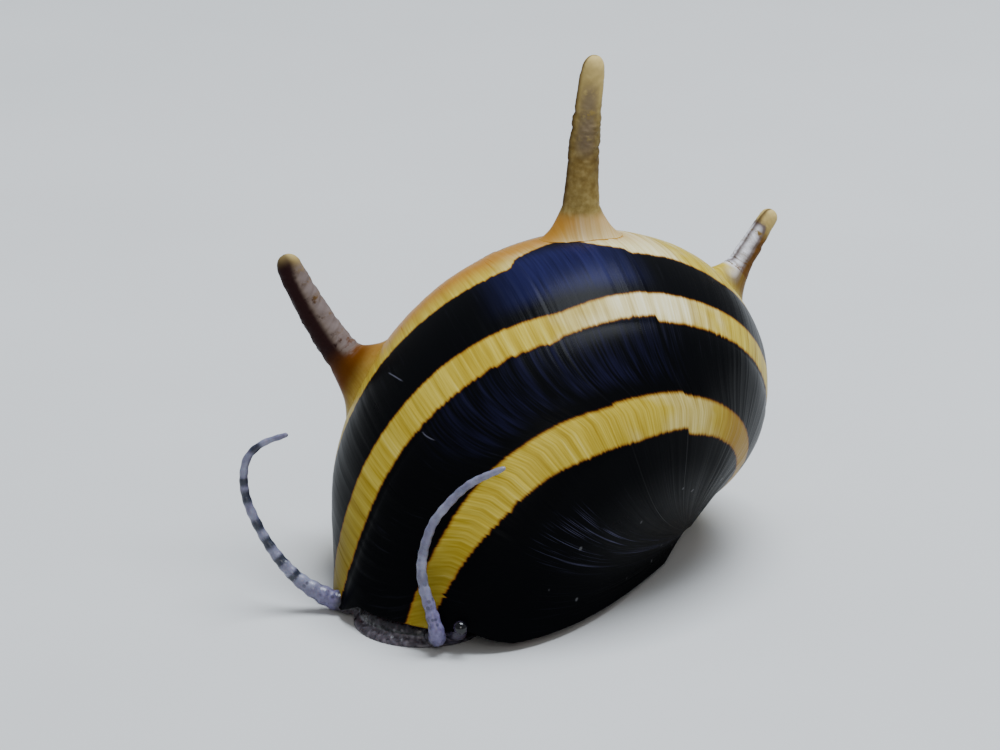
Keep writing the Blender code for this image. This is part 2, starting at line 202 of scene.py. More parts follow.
WRINKLE_WIDTH = 0.3 * MM
FLANGE_SIZE = 0.05 * MM
FLANGE_WIDTH = 0.24
FLANGE_START = 0.1
FLANGE_END = (0.85, 0.13)

# Coloured patches of each spine: name, side that it faces, spread round it, low and high end, strength
# The pale grey-lilac patches are painted sheen on the side of a spine that faces the light, whitish on the
# lit face of the shortest spine
SPINE_PATCHES = (
    (("soot", (-0.60, -0.46, -0.71), 1.30, 0.12, 1.12, 1.0),
     ("rust", (0.60, 0.46, 0.71), 0.6, 0.10, 1.02, 0.6),
     ("rust", (-0.60, -0.46, -0.71), 1.8, -0.08, 0.50, 1.0),
     ("lit_sheen", (0.60, 0.46, 0.71), 0.22, 0.08, 1.02, 0.5)),
    (("lit_sheen", (0.63, -0.70, 0.34), -0.1, 0.30, 0.98, 0.30),
     ("rust", (0.60, -0.60, 0.0), 0.6, 0.16, 0.60, 0.2),
     ("soot", (0.74, 0.67, 0.0), -0.1, 0.2, 0.8, 0.4)),
    (("lit_sheen", (-0.05, -0.96, 0.28), 0.08, -0.05, 0.88, 1.0),
     ("soot", (-0.76, -0.50, 0.38), 0.0, 0.06, 0.58, 0.95),
     ("rust", (0.74, 0.67, -0.3), 0.7, -0.1, 0.80, 0.85)),
)
PATCH_START = 0.22
PATCH_END = 0.2

# Foot and head
FOOT_CENTRE = np.array([0.1, -0.2, 0.0]) * MM
FOOT_HALF = (3.6 * MM, 6.2 * MM)
FOOT_TAPER = 0.32
FOOT_SIDES = 240
FOOT_SECTION = ((0.02, 0.0), (0.5, 0.0), (0.88, 0.0), (0.95, 0.02), (0.99, 0.10), (1.0, 0.22), (0.985, 0.36),
                (0.94, 0.46), (0.86, 0.52), (0.7, 0.62), (0.4, 0.8), (0.02, 0.9))
FOOT_FRILL = 0.012
FRILL_WAVES = 9
FRILL_SEED = 7
HEAD_CENTRE = Vector((0.3, -6.35, 0.0)) * MM
SNOUT_LOWER = Vector((2.35, 2.15, 0.52)) * MM
SNOUT_UPPER = Vector((2.15, 1.85, 0.95)) * MM
UPPER_RAISED = Vector((0.0, 0.0, 0.25)) * MM
NECK_MARGIN = 0.35 * MM

# Feelers, eye stalks and eyes: routes in millimetres, radius along them, and dark spots by distance
FEELER_TAPERS = {
    "left": ((0.0, 0.36), (0.1, 0.29), (0.22, 0.22), (0.4, 0.175), (0.8, 0.145), (0.94, 0.125), (1.0, 0.09)),
    "right": ((0.0, 0.40), (0.1, 0.38), (0.22, 0.33), (0.34, 0.24), (0.5, 0.18), (0.8, 0.15), (1.0, 0.10)),
}
FEELER_SHOWS = {"left": 0.55 * MM, "right": 1.35 * MM}
FEELERS = {
    "left": ((2.00, -7.40, 0.35), (2.70, -7.95, 0.70), (2.48, -7.98, 1.45), (2.09, -7.96, 2.36),
             (1.91, -7.85, 3.07), (1.95, -7.60, 3.95), (2.19, -7.30, 4.72), (2.89, -6.58, 5.77),
             (3.86, -5.74, 6.43)),
    "right": ((-1.00, -6.90, 0.36), (-2.30, -7.40, 0.38), (-2.95, -7.78, 0.62), (-3.73, -8.34, 1.29),
              (-4.62, -8.75, 2.44), (-5.34, -8.98, 3.92), (-5.51, -8.81, 5.09), (-5.12, -8.44, 5.76),
              (-4.40, -7.80, 6.15)),
}
FEELER_SPOTS = {"left": (3.0, 4.0, 5.2, 6.4, 7.4), "right": (3.35, 4.05, 4.80, 5.51, 6.57, 7.10, 8.43)}
FEELER_SPOT_DARK = {"left": 0.28, "right": 1.0}
SPOT_HALF = 0.17
SPOT_CHANGE = 0.05
SPOT_WAVE = 7
SPOT_EDGE = 1.5
FEELER_SKIN = (0.55 * MM, 0.15 * MM)
FEELER_START = 0.5 * MM
FEELER_SMOOTH = 0.85
FEELER_RINGS = 260
FEELER_AROUND = 28
KNOT_GAP = 0.42 * MM
KNOT_SIZE = 0.07
KNOT_SEED = 5
KNOT_WANDER = 2.0
KNOT_CELL = 2.0
LEAST_RADIUS = 0.01 * MM
ROUTE_SAMPLES = 300
STALKS = {
    "left": ((1.5, -6.4, 0.35), (2.6, -6.95, 0.55), (3.0, -7.25, 0.80)),
    "right": ((-0.8, -6.5, 0.36), (-2.2, -6.45, 0.36), (-3.0, -6.85, 0.34)),
}
STALK_TAPER = ((0.0, 0.36), (0.5, 0.34), (0.85, 0.33), (1.0, 0.25))
STALK_SKIN = (0.62 * MM, 0.2 * MM)
EYE_RADIUS = 0.24 * MM
EYE_FINENESS = (64, 40)
EYE_GAP = 0.3 * MM
EYE_BULGE = 0.06
PUPIL_EDGE = 0.35
PUPIL_FADE = 0.2
TENTACLES = [f"tentacle_{side}_{part}" for side in FEELERS for part in (1, 2, 3)]
FLESH_NODES = ["foot", "head"] + TENTACLES

# Skin: voxel and lengths of the head in millimetres, then warts and the ridges of the lower lip
SKIN_VOXEL = 0.04
SKIN_RELAX = 5
SKIN_SHARE = 0.5
LIP_FRONT = (-5.9, 0.6)
LIP_TOP = (0.44, 0.12)
LIP_RIDGE_GAP = 0.05
LIP_RIDGES = 0.02 * MM
LIP_SEED = 221
WARTS = 0.02 * MM
WART_WAVES = ((0.28 * MM, 201, 1.0), (0.12 * MM, 211, 0.5))
FLOOR_FADE = 0.12

# Noise in space is the sum of three leaning and shifted sheets, divided so that it reaches about 1
SHEET_LEANS = (0.4, 0.3)
SHEET_SHIFTS = (31, 57)
SHEET_SUM = 1.7

# Noise of the shell's streaks: stretch across the growth lines, shift, cells to a unit of age and detail,
# then blends with their shares of the fine and middle noise, and how far edges and drift wander
STREAKS = {"fine": (0.03, 0.0, 95.0, 2.0), "middle": (0.07, 3.0, 26.0, 3.0), "broad": (1.0, 7.0, 4.0, 2.0)}
BLENDS = {"streak": (0.45, 0.55), "relief": (0.6, 0.4)}
EDGE_WANDER = 0.07
DRIFT_SPREAD = 1.2

# Scars on the dark glaze: their lean, half width and fades, and the place, first and last step of each
SCAR_LEAN = 0.37
SCAR_WIDTH = (0.0035, 0.0015)
SCAR_FADES = (0.02, 0.03)
SCARS = ((0.289, 1.21, 1.325), (0.149, 1.56, 1.636))

# Other patterns: cells to a metre, and the detail of those that are noise
SHELL_GRAIN = (4200.0, 3.0)
SHELL_SPECKS = 900.0
SKIN_GRAIN = (5200.0, 3.0)
SKIN_MOTTLE = (1700.0, 2.0)
SKIN_WARTS = 2600.0
SKIN_DASHES = 4300.0
EYE_GRAIN = (9000.0, 2.0)
FLOOR_MOTTLE = (60.0, 3.0)
CREASES = (1.0, 3.0)

# Colours in linear light. A ramp has pairs of a noise value and a colour.
INK = (0.0022, 0.0024, 0.0030)
FRINGE = (0.04, 0.010, 0.003)
GOLD = ((0.30, (0.28, 0.178, 0.011)), (0.44, (0.42, 0.300, 0.028)), (0.58, (0.55, 0.425, 0.060)),
        (0.74, (0.68, 0.57, 0.16)))
CREAM = ((0.32, (0.50, 0.39, 0.14)), (0.50, (0.72, 0.63, 0.33)), (0.68, (0.85, 0.81, 0.58)))
HORN = ((0.28, (0.19, 0.125, 0.034)), (0.5, (0.26, 0.185, 0.058)), (0.72, (0.35, 0.265, 0.098)))
# Painted sheen of the spines' lit side, from brown to near-white by its strength
SHEEN_RAMP = ((0.0, (0.13, 0.090, 0.055)), (0.5, (0.16, 0.125, 0.115)), (1.0, (0.80, 0.78, 0.84)))
DARK_SKIN = ((0.32, (0.006, 0.005, 0.007)), (0.52, (0.016, 0.013, 0.018)), (0.70, (0.045, 0.037, 0.048)))
MAUVE = ((0.30, (0.030, 0.024, 0.031)), (0.50, (0.070, 0.058, 0.073)), (0.68, (0.15, 0.13, 0.155)))
LAVENDER = ((0.30, (0.08, 0.070, 0.15)), (0.50, (0.125, 0.11, 0.22)), (0.70, (0.20, 0.185, 0.34)))
CLEAR = ((0.35, (0.13, 0.125, 0.20)), (0.65, (0.24, 0.245, 0.34)))
EYE_RIM = ((0.35, (0.02, 0.014, 0.03)), (0.65, (0.075, 0.055, 0.10)))
PUPIL = (0.003, 0.003, 0.005)
FLOOR = ((0.3, (0.63, 0.63, 0.62)), (0.7, (0.66, 0.66, 0.65)))

# Coats of paint, in order: a colour or the name of a field, and the parts of the coat's share. A part is a
# field, a smooth step of a field from one value to another, or a plain number.
LIGHT_COATS = {
    "upper cream": ("cream", ("drift", 1.3, 1.8), ("step", 1.75, 1.5), ("drift", 2.35, 2.0), 0.92),
    "amber": ((0.38, 0.145, 0.011), ("step", 1.13, 0.96), ("age", 0.3, 0.7), ("age", 2.3, 1.7), 0.85),
    "lower cream": ("cream", ("drift", 1.5, 1.9), ("step", 1.75, 1.9), ("drift", 2.3, 2.0), 0.3),
    "orange": ((0.25, 0.12, 0.009), ("age", 2.0, 2.5), ("step", 1.75, 1.9), 0.75),
    "young": ((0.11, 0.080, 0.006), ("age", 0.5, 0.1, 0.0, 0.6)),
}
EDGE_COATS = {
    "brown": ((0.26, 0.125, 0.012), ("edge", 0.0, 0.07)),
    "band": ("light", ("edge", 0.03, 0.17)),
}
DARK_COATS = {
    # Painted reflection: a navy tint in the dark band below the shoulder band stands in for the bluish sky
    # sheen on the glaze
    "painted navy reflection": ((0.012, 0.013, 0.060), ("step", 1.0, 1.12), ("step", 1.40, 1.30), ("age", 1.15, 1.5),
               ("age", 2.0, 1.7), ("streak", 0.3, 0.6, 0.45, 1.0)),
    # Painted reflection: a fainter bluish tint in the next dark band down, for the same sky sheen on the
    # glaze
    "painted blue reflection": ((0.010, 0.010, 0.035), ("step", 1.45, 1.6), ("step", 2.0, 1.85), ("age", 0.6, 1.0),
             ("age", 2.1, 1.7), ("streak", 0.42, 0.66), 0.6),
    # Painted highlight: faint grey lines along the growth lines of the dark glaze, as light catching their
    # ridges
    "painted line highlights": ((0.03, 0.03, 0.045), ("fine", 0.58, 0.72), ("broad", 0.45, 0.62), 0.13),
    # Painted reflection: bluish silver streaks along the growth lines on the base
    "painted base reflections": ((0.12, 0.12, 0.22), ("fine", 0.55, 0.66), ("middle", 0.45, 0.6), ("step", 2.38, 2.5),
               ("age", 0.38, 0.55), ("age", 1.05, 0.85), 0.45),
    "scars": ((0.075, 0.075, 0.10), "scars"),
    "specks": ((0.4, 0.4, 0.42), ("specks", 0.09, 0.05), ("step", 2.3, 2.5), 0.18),
}
HORN_COATS = {
    "tip": ((0.60, 0.45, 0.17), ("spine", 0.55, 1.0, 0.0, 0.9)),
    "rust": ((0.11, 0.034, 0.003), "rust"),
    "soot": ((0.022, 0.009, 0.009), "soot"),
    # Painted sheen on the side of each spine that faces the light
    "lit_sheen": ("sheen_ramp", ("lit_sheen", 0.1, 0.4), ("creases", 0.28, 0.52)),
    "seam": ((0.045, 0.018, 0.006), "seam", ("spine", 0.05, 0.2), 0.85),
}
SKIN_COATS = {
    "lip": ("mauve", "lip", 0.85),
    # Painted shade: a near-black line in the groove between the lower lip and the skin above it
    "painted groove shade": ((0.003, 0.003, 0.004), ("lip", 0.02, 0.25), ("lip", 1.0, 0.75), 0.95),
    "stalk": ((0.085, 0.07, 0.12), "stalk", 0.5),
    "warts": ((0.40, 0.38, 0.42), ("warts", 0.18, 0.10), ("mottle", 0.54, 0.64), 0.2),
}
FEELER_COATS = {
    "clear": ("clear", ("run", 1.6, 3.0)),
    "dashes": ((0.03, 0.03, 0.06), ("dashes", 0.36, 0.24), ("mottle", 0.42, 0.52), ("run", 4.2, 3.0), 0.7),
    "spots": ((0.022, 0.026, 0.045), "spot", ("grain", 0.25, 0.45, 0.6, 1.0)),
}

# Where bands, horn and pupil start, and the gloss and relief of each surface, written as parts of a share
BAND_START = ("edge", -0.03, 0.01)
HORN_START = ("spine", 0.01, 0.10)
PUPIL_START = ("pupil", 0.2, 0.8)
LEAST_DULLNESS = 0.16
STREAK_DULLNESS = 0.30
SPINE_DULLNESS = ("spine", 0.05, 0.3, 0.0, 0.18)
SPINE_RELIEF = ("spine", 0.05, 0.2)
GLAZE_IOR = 1.12
SHINE = (("step", 2.2, 2.5, 0.5, 0.2), ("age", 0.1, 0.9, 0.3, 1.0))
SKIN_GLOSS = ("grain", 0.3, 0.7, 0.22, 0.46)
SKIN_SHINE = 0.5
SKIN_DEPTH = (0.12, 0.2 * MM)
EYE_GLOSS = ("pupil", 0.0, 1.0, 0.16, 0.04)
FLOOR_DULLNESS = 0.85
SHELL_BUMP = 0.008 * MM
SKIN_BUMP = 0.010 * MM
CREASE_RATES = {"spine": 14.0, "grain": 2.5}
CREASE_SHIFT = 2.0

# Studio: half side of the floor, light from all round, and each lamp's place, aim, side, power and colour
FLOOR_HALF = 1.5
ROUND_COLOUR = (0.86, 0.90, 0.95, 1)
ROUND_STRENGTH = 0.32
LAMPS = {
    "top_light": ((0.011, 0.048, 0.22), (0, 0, 0.006), 0.14, 0.9, (0.84, 0.91, 1.0)),
    "side_light": ((0.16, -0.14, 0.12), (0, 0, 0.005), 0.10, 0.10, (1.0, 0.97, 0.92)),
}


def smooth(value):
    """Ease from 0 to 1 over values of 0 to 1."""
    value = np.clip(value, 0, 1)
    return value * value * (3 - 2 * value)


def unit(vectors):
    """Vectors scaled to a length of 1."""
    return vectors / np.maximum(np.linalg.norm(vectors, axis=-1, keepdims=True), TINY)


def round_angles(count):
    """Angles evenly round a circle."""
    return np.linspace(0, math.tau, count, endpoint=False)


def noise_line(values, cell, seed):
    """Smooth random values from -1 to 1 along one coordinate."""
    table = np.random.default_rng(seed).uniform(-1.0, 1.0, NOISE_LENGTH)
    place = values / cell
    first = np.floor(place).astype(int)
    part = smooth(place - first)
    return table[first % NOISE_LENGTH] * (1 - part) + table[(first + 1) % NOISE_LENGTH] * part


def noise_sheet(u, v, seed):
    """Smooth random values from -1 to 1 over two coordinates, one cell to a unit."""
    table = np.random.default_rng(seed).uniform(-1.0, 1.0, (NOISE_SIDE, NOISE_SIDE))
    i = np.floor(u).astype(int)
    j = np.floor(v).astype(int)
    a = smooth(u - i)
    b = smooth(v - j)

    def row(level):
        """Values between two columns of the table, on one row."""
        level = level % NOISE_SIDE
        return table[i % NOISE_SIDE, level] * (1 - a) + table[(i + 1) % NOISE_SIDE, level] * a

    return row(j) * (1 - b) + row(j + 1) * b


def axis_frame():
    """Unit vectors: forward and level, down, and along the axis toward the base."""
    heading = np.array([math.cos(AXIS_HEADING), math.sin(AXIS_HEADING), 0.0])
    along = heading * math.cos(AXIS_DIP) - UP * math.sin(AXIS_DIP)
    level = np.array([heading[1], -heading[0], 0.0])
    return level, np.cross(along, level), along


def profile(step):
    """Radius and distance along the axis at steps of 0 (suture) to pi (end of the base)."""
    spire_side = step < math.pi / 2
    fullness = np.where(spire_side, SPIRE_FULLNESS, BASE_FULLNESS)
    reach = np.where(spire_side, SPIRE_SIDE, BASE_SIDE)
    swell = 1 + SHOULDER_SWELL * np.sin(2 * step) + SHOULDER_RIDGE * np.sin(3 * step)
    radius = WHORL_RADIUS * np.abs(np.sin(step)) ** (2 / fullness) * swell
    height = WHORL_MIDDLE - reach * np.copysign(np.abs(np.cos(step)) ** (2 / fullness), np.cos(step))
    return radius, height


def spiral(turn, step):
    """Points of the spiral surface at turns in radians from the front of the lip."""
    level, down, along = axis_frame()
    turn = np.asarray(turn, float)[..., None]
    radius, height = (part[..., None] for part in profile(np.asarray(step, float)))
    outward = level * np.cos(turn) + down * np.sin(turn)
    return APEX + (outward * radius + along * height) * np.exp(GROWTH * turn)


def flared(points):
    """Push the low points of the shell outward or inward, by their heading round the animal."""
    rise = np.clip(1 - points[..., 2] / LIP_RISE, 0, 1)
    outward = unit(points * np.array([1.0, 1.0, 0.0]))
    push = np.zeros(points.shape[:-1])
    for size, heading, focus in LIP_SHAPE:
        facing = outward[..., 0] * math.cos(heading) + outward[..., 1] * math.sin(heading)
        push += size * np.clip(facing, 0, None) ** focus
    return points + outward * (push * rise ** 2)[..., None]


def body(turn, step):
    """Points of the body whorl, whose base bends back to one corner."""
    start = spiral(turn, np.minimum(step, BASE_START))
    edge = spiral(turn, np.full_like(turn, BASE_START))
    heading = unit(edge - spiral(turn, np.full_like(turn, BASE_START - SMALL_STEP)))
    span = np.linalg.norm(BASE_CORNER - edge, axis=-1, keepdims=True)
    middle = edge + heading * span * BASE_BULGE
    t = np.clip((step - BASE_START) / (math.pi - BASE_START), 0, 1)[..., None]
    curve = edge * (1 - t) ** 2 + middle * (2 * t * (1 - t)) + BASE_CORNER * t * t
    return flared(np.where(t > 0, curve, start))


def lag(step):
    """How far a growth line trails in turn at a step; it eases out level over the base."""
    start, slope, span = LAG_EASE
    over = np.clip(step - start, 0, span)
    step = np.minimum(step, start)
    first, second, third = LAG_WAVES
    waves = first * np.cos(step) + second * np.sin(step) ** 2 + third * np.sin(2 * step)
    return waves + slope * (over - over ** 2 / (2 * span))


def run_along(points):
    """Distance along a line of points at each of them."""
    return np.concatenate([[0], np.cumsum(np.linalg.norm(np.diff(points, axis=0), axis=1))])


def even_steps(count):
    """Steps from 0 to pi whose points on the body whorl lie evenly apart."""
    dense = np.linspace(0, math.pi, PROFILE_SAMPLES)
    lengths = run_along(body(np.zeros_like(dense), dense))
    return np.interp(np.linspace(0, lengths[-1], count), lengths, dense)


def arc_table():
    """Distance along the profile from the suture, at full size, against the step."""
    steps = np.linspace(0, BASE_START, ARC_SAMPLES)
    return steps, run_along(spiral(np.zeros_like(steps), steps))


def teeth(age, length, size, seed):
    """A saw-tooth run of random teeth along the age, each sloping one way and ending at once."""
    random = np.random.default_rng(seed)
    gaps = length * random.lognormal(0.0, TEETH_GAP_SPREAD, TEETH_COUNT)
    heights = size * random.lognormal(0.0, TEETH_SIZE_SPREAD, TEETH_COUNT)
    starts = YOUNGEST + np.concatenate([[0], np.cumsum(gaps)[:-1]])
    index = np.clip(np.searchsorted(starts, age, side="right") - 1, 0, TEETH_COUNT - 1)
    return heights[index] * (0.5 - (age - starts[index]) / gaps[index])


def relief(age, step, turn):
    """Height of the growth lines above the even surface."""
    height = np.zeros_like(age)
    for cell, amount, seed in GROWTH_LINES:
        change = noise_sheet(age / (cell * CHANGE_CELLS), step * CHANGE_STEPS, seed + CHANGE_SEED)
        height += amount * (LINE_STRENGTH + LINE_CHANGE * change) * noise_line(age, cell, seed)
    for place, depth, run in CHECK_RIDGES:
        after = age - place
        height += depth * np.exp(-np.abs(after) / run) * np.where(after > 0, -1.0, 1.0)
    height += SWELL_SIZE * noise_sheet(age * SWELL_RATES[0], step * SWELL_RATES[1], SWELL_SEED)
    ends = smooth(step / SUTURE_FADE) * smooth((math.pi - step) / BASE_FADE)
    return height * ends * np.exp(GROWTH * turn)


def band_distance(age, step, turn):
    """Distance in millimetres into the nearest pale band, negative in the dark ones."""
    steps, lengths = arc_table()
    size = np.exp(GROWTH * turn)
    edge = spiral(turn, np.full_like(turn, BASE_START))
    reach = 2 * BASE_BULGE * np.linalg.norm(BASE_CORNER - edge, axis=-1) / size

    def place(at):
        """Distance from the suture, at full size."""
        over = np.clip((at - BASE_START) / (math.pi - BASE_START), 0, 1)
        return np.interp(at, steps, lengths) + over * reach

    def band_edge(table, style, index, share):
        """Distance from the suture of one edge of a band, with its wander and teeth."""
        length, teeth_size, teeth_seed, wander_seed = style
        wander = BAND_WANDER * noise_line(age, BAND_WANDER_CELL, wander_seed + index)
        line = place(np.interp(age, *zip(*table))) + wander
        return line + teeth(age, length, teeth_size * share, teeth_seed + index)

    here = place(step)
    best = np.full_like(age, -np.inf)
    for index, (upper, lower, share) in enumerate(PALE_BANDS):
        low = band_edge(upper, UPPER_EDGE, index, share)
        high = band_edge(lower, LOWER_EDGE, index, share)
        best = np.maximum(best, np.minimum(here - low, high - here))
    return best * size / MM


def surface_normals(points):
    """Unit normals of a grid of shell points, pointing out."""
    return unit(np.cross(np.gradient(points, axis=0), np.gradient(points, axis=1)))


def add_values(mesh, values):
    """Give each point of a mesh named values, which its paint reads."""
    for key, value in values.items():
        layer = mesh.attributes.new(key, "FLOAT", "POINT")
        layer.data.foreach_set("value", np.asarray(value, np.float32))


def grid_mesh(name, points, values, core):
    """A closed mesh of a grid of points and a cone from its edges to a point inside it."""
    rows, columns = points.shape[:2]
    index = np.arange(rows * columns).reshape(rows, columns)
    tip = rows * columns
    quads = np.stack([index[:-1, :-1], index[1:, :-1], index[1:, 1:], index[:-1, 1:]], -1)
    faces = quads.reshape(-1, 4).tolist()
    rim = list(index[:, 0]) + list(index[-1, 1:]) + list(index[-2::-1, -1]) + list(index[0, -2:0:-1])
    faces += [(int(b), int(a), tip) for a, b in zip(rim, rim[1:] + rim[:1])]
    mesh = bpy.data.meshes.new(name)
    mesh.from_pydata(np.concatenate([points.reshape(-1, 3), [core]]).tolist(), [], faces)
    add_values(mesh, {key: np.append(value.ravel(), 0.0) for key, value in values.items()})
    shape = bmesh.new()
    shape.from_mesh(mesh)
    bmesh.ops.remove_doubles(shape, verts=shape.verts, dist=MERGE)
    shape.to_mesh(mesh)
    shape.free()
    return add_object(name, mesh)


def add_object(name, data):
    """Put a mesh, lamp or camera in the scene."""
    item = bpy.data.objects.new(name, data)
    bpy.context.scene.collection.objects.link(item)
    return item


def shape_object(name, shape):
    """Put a finished shape in the scene as a mesh."""
    mesh = bpy.data.meshes.new(name)
    shape.to_mesh(mesh)
    shape.free()
    return add_object(name, mesh)


def apply_modifiers(item):
    """Make what an object's modifiers show its own mesh."""
    graph = bpy.context.evaluated_depsgraph_get()
    mesh = bpy.data.meshes.new_from_object(item.evaluated_get(graph))
    old = item.data
    item.modifiers.clear()
    item.data = mesh
    bpy.data.meshes.remove(old)


def combine(item, others, operation):
    """Apply one Boolean of closed objects to an item and remove those objects."""
    tools = bpy.data.collections.new(item.name + "_tools")
    for other in others:
        bpy.context.scene.collection.objects.unlink(other)
        tools.objects.link(other)
    boolean = item.modifiers.new("boolean", "BOOLEAN")
    boolean.operand_type = "COLLECTION"
    boolean.collection = tools
    boolean.operation = operation
    boolean.solver = "MANIFOLD"
    apply_modifiers(item)
    for other in others:
        bpy.data.objects.remove(other, do_unlink=True)
    bpy.data.collections.remove(tools)


def read_values(items, key, width, kind=float):
    """One property of a mesh's points or edges, with a row for each."""
    values = np.empty(len(items) * width, kind)
    items.foreach_get(key, values)
    return values.reshape(-1, width)


def keep_largest(item):
    """Keep only the largest connected surface of a mesh object."""
    edges = read_values(item.data.edges, "vertices", 2, int)
    label = np.arange(len(item.data.vertices))
    while True:
        low = np.minimum(label[edges[:, 0]], label[edges[:, 1]])
        lower = label.copy()
        np.minimum.at(lower, edges[:, 0], low)
        np.minimum.at(lower, edges[:, 1], low)
        lower = lower[lower]
        if np.array_equal(lower, label):
            break
        label = lower
    largest = np.bincount(label).argmax()
    shape = bmesh.new()
    shape.from_mesh(item.data)
    loose = [vert for vert, mark in zip(shape.verts, label) if mark != largest]
    bmesh.ops.delete(shape, geom=loose, context="VERTS")
    shape.to_mesh(item.data)
    shape.free()


def ellipsoid(name, centre, half, around=96, down=48):
    """An ellipsoid with its three half lengths."""
    shape = bmesh.new()
    bmesh.ops.create_uvsphere(shape, u_segments=around, v_segments=down, radius=1.0)
    for vert in shape.verts:
        vert.co = vert.co * half + centre
    return shape_object(name, shape)


def prism(name, outline, low, high, axes):
    """A closed prism of a flat outline, with the axes of the outline and of its length."""
    shape = bmesh.new()
    ends = []
    for level in (low, high):
        spots = [dict(zip(axes, (a, b, level))) for a, b in outline]
        ends.append([shape.verts.new((spot["x"], spot["y"], spot["z"])) for spot in spots])
        shape.faces.new(ends[-1])
    for index in range(len(outline)):
        shape.faces.new((ends[0][index - 1], ends[0][index], ends[1][index], ends[1][index - 1]))
    bmesh.ops.recalc_face_normals(shape, faces=shape.faces)
    return shape_object(name, shape)


def room_outline(line):
    """The outline of a room under a line, down past the floor."""
    upper = [(a * MM, b * MM) for a, b in line]
    return upper + [(upper[-1][0], -FAR), (upper[0][0], -FAR)]


def foot_outline(margin, reach=1.0, frill=1.0):
    """Points round the sole, narrower behind, grown by a margin."""
    angle = round_angles(FOOT_SIDES)
    across = np.cos(angle) * (FOOT_HALF[0] + margin) * (1 - FOOT_TAPER * np.sin(angle) * reach)
    down = np.sin(angle) * (FOOT_HALF[1] + margin)
    return FOOT_CENTRE[:2] + np.stack([across, down], -1) * reach * np.asarray(frill)[..., None]


def shell_grid(name, points, age, step, turn, core, sink=0.0):
    """A closed stretch of the shell with its relief, and with the values that its paint reads."""
    points = points + surface_normals(points) * relief(age, step, turn)[..., None]
    points = points + (core - points) * sink
    values = {"age": age, "step": step, "pale": band_distance(age, step, turn)}
    return grid_mesh(name, points, values, core)


def body_whorl():
    """The last whorl, its rows laid along the growth lines except near its two ends."""
    sizes = np.linspace(math.exp(GROWTH * BODY_START), math.exp(GROWTH * BODY_END), BODY_ROWS)
    rows = np.log(sizes) / GROWTH
    row, step = np.meshgrid(rows, even_steps(BODY_COLUMNS), indexing="ij")
    reach = LAG_FADE + LAG_FADE_SLOPE * np.abs(lag(step))
    turn = row - lag(step) * smooth((row - BODY_START) / reach) * smooth((BODY_END - row) / reach)
    return shell_grid("shell_surface", body(turn, step), -turn - lag(step), step, turn, BODY_CORE)


def spire():
    """The older turns, in closed parts that overlap round the axis, and a round tip."""
    last = BODY_START + SPIRE_OVERLAP
    span = (last - SPIRE_START) / SPIRE_PARTS
    level, down, along = axis_frame()
    size = math.exp(GROWTH * SPIRE_START)
    tip = ALL_WAYS * NUCLEUS_RADIUS * size
    made = [ellipsoid("nucleus", Vector(APEX + along * NUCLEUS_HEIGHT * size), tip, *NUCLEUS_FINENESS)]
    for index in range(SPIRE_PARTS):
        first = SPIRE_START + span * index
        middle = first + span / 2
        outward = level * math.cos(middle) + down * math.sin(middle)
        core = along * WHORL_MIDDLE * SPIRE_CORE_HEIGHT - outward * WHORL_RADIUS * SPIRE_CORE_OFFSET
        core = APEX + core * math.exp(GROWTH * middle)
        turns = np.linspace(first, first + span, SPIRE_ROWS)
        turn, step = np.meshgrid(turns, even_steps(SPIRE_COLUMNS), indexing="ij")
        sink = SPIRE_SINK * smooth((turn - BODY_START) / SPIRE_OVERLAP + 1)[..., None]
        age = -turn - lag(step)
        made.append(shell_grid(f"spire_{index}", spiral(turn, step), age, step, turn, core, sink))
    return made


def tube_mesh(name, rings, values):
    """A closed mesh of rings of points, with a fan of triangles at each end."""
    rows, around = rings.shape[:2]
    index = np.arange(rows * around).reshape(rows, around)
    turned = np.roll(index, -1, axis=1)
    quads = np.stack([index[:-1], turned[:-1], turned[1:], index[1:]], -1)
    faces = quads.reshape(-1, 4).tolist()
    first = rows * around
    faces += [(int(b), int(a), first) for a, b in zip(index[0], turned[0])]
    faces += [(int(a), int(b), first + 1) for a, b in zip(index[-1], turned[-1])]
    ends = [rings[0].mean(axis=0), rings[-1].mean(axis=0)]
    mesh = bpy.data.meshes.new(name)
    mesh.from_pydata(np.concatenate([rings.reshape(-1, 3), ends]).tolist(), [], faces)
    add_values(mesh, {key: np.concatenate([value.ravel(), [value[0].mean(), value[-1].mean()]])
                      for key, value in values.items()})
    return add_object(name, mesh)


def spine_seat(shape, middle):
    """Where a spine's middle line meets the shell: the place along that line, and the turn and step."""
    spread = np.linspace(-SEAT_REACH, SEAT_REACH, SEAT_SAMPLES)
    turn, step = np.meshgrid(shape["turn"] + spread, SPINE_LINE + spread, indexing="ij")
    near = spiral(turn, step)
    places = np.linspace(*SEAT_PLACES)
    gaps = np.array([np.linalg.norm(near - point, axis=-1).min() for point in middle(places)])
    seat = places[int(np.argmin(gaps))]
    spot = np.unravel_index(np.argmin(np.linalg.norm(near - middle(seat), axis=-1)), near.shape[:2])
    return seat, turn[spot], step[spot]


def shell_slopes(turn, step):
    """How a point of the shell moves for each unit of turn, and of step."""
    here = spiral(turn, step)
    by_turn = (spiral(turn + SLOPE_STEP, step) - here) / SLOPE_STEP
    by_step = (spiral(turn, step + SLOPE_STEP) - here) / SLOPE_STEP
    return by_turn, by_step


def spine_wrinkles(index, rise, top, cosine, sine):
    """Height of a spine's wrinkles, which are strongest in a zone of its own."""
    wrinkle = 0.0
    waves = (cosine, sine)
    for cell, lean, offset, around, strength, seed in WRINKLE_WAVES:
        across = offset + around * waves[1]
        wrinkle = wrinkle + strength * noise_sheet(rise / cell + lean * waves[0], across, seed + index)
        waves = waves[::-1]
    low, high, strength = WRINKLE_ZONES[index]
    zone = smooth((rise / top - low) / WRINKLE_FADE) * smooth((high - rise / top) / WRINKLE_FADE)
    return wrinkle * (WRINKLE_LEAST + strength * zone) * WRINKLE_SIZE


